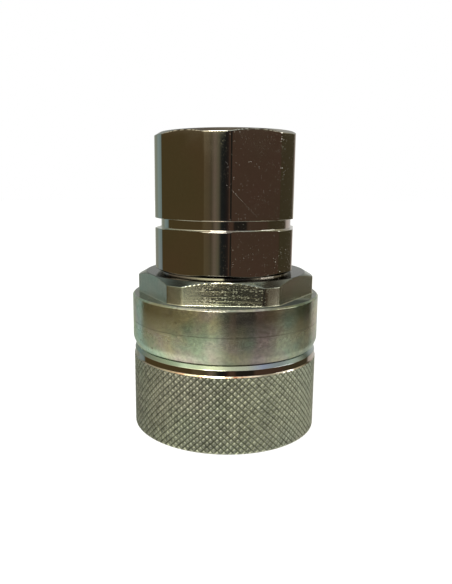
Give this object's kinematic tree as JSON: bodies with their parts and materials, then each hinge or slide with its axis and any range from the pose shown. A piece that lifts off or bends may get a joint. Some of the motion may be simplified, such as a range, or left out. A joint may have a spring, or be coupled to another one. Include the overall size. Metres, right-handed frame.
{
  "type": "quick disconnect coupler",
  "caption": "Screw-to-connect hydraulic quick coupler half: hexagonal threaded port, collar body, free-turning diamond-knurled sleeve and a spring-loaded flat-face valve.",
  "frame": {"origin": "centre of the sleeve's bottom face, the mouth that meets the mating half", "axes": "+Z along the coupler's axis from the mouth to the threaded port; one flat of the body's hexagon faces -Y"},
  "size_m": [0.0646, 0.0646, 0.1003],
  "materials": {
    "zinc_bright": "bright zinc plating over smooth turned steel",
    "zinc_satin": "satin zinc plating with faint yellow and green passivation tints",
    "zinc_knurl": "zinc plating over a fine diamond knurl",
    "barrel_steel": "turned and zinc plated",
    "ground_steel": "ground and polished",
    "spring_steel": "drawn wire",
    "plain_steel": "turned",
    "nitrile": "moulded, matte",
    "ptfe": "machined, waxy"
  },
  "bodies": {
    "coupler_body": {"rear_adaptor": "zinc_bright", "adaptor_seal_ring": "nitrile", "adaptor_backup_ring": "ptfe", "hex_collar_body": "zinc_satin", "inner_barrel": "barrel_steel", "nose_seal_ring": "nitrile", "nose_backup_ring": "ptfe", "barrel_seal_ring": "nitrile", "barrel_backup_ring": "ptfe", "thrust_washer": "plain_steel", "sleeve_wiper_ring": "nitrile", "valve_spring": "spring_steel", "spring_seat_washer": "plain_steel", "valve_stem": "ground_steel", "stem_seal_ring": "nitrile", "stem_backup_ring": "ptfe", "stem_spider": "plain_steel", "stem_lock_washer": "plain_steel", "stem_nut": "plain_steel"},
    "sleeve": {"knurled_sleeve": "zinc_knurl"},
    "valve": {"sliding_valve": "ground_steel", "valve_guide_ring": "ptfe"}
  },
  "joints": [
    {"name": "sleeve_spin", "type": "hinge", "parent": "coupler_body", "child": "sleeve", "pos_m": [0, 0, 0.0143], "axis": [0, 0, 1], "continuous": true},
    {"name": "valve_slide", "type": "slide", "parent": "coupler_body", "child": "valve", "axis": [0, 0, 1], "range_m": [0, 0.01], "stiffness_N_per_m": 525, "springref_m": -0.02, "deforming": ["valve_spring"]}
  ]
}
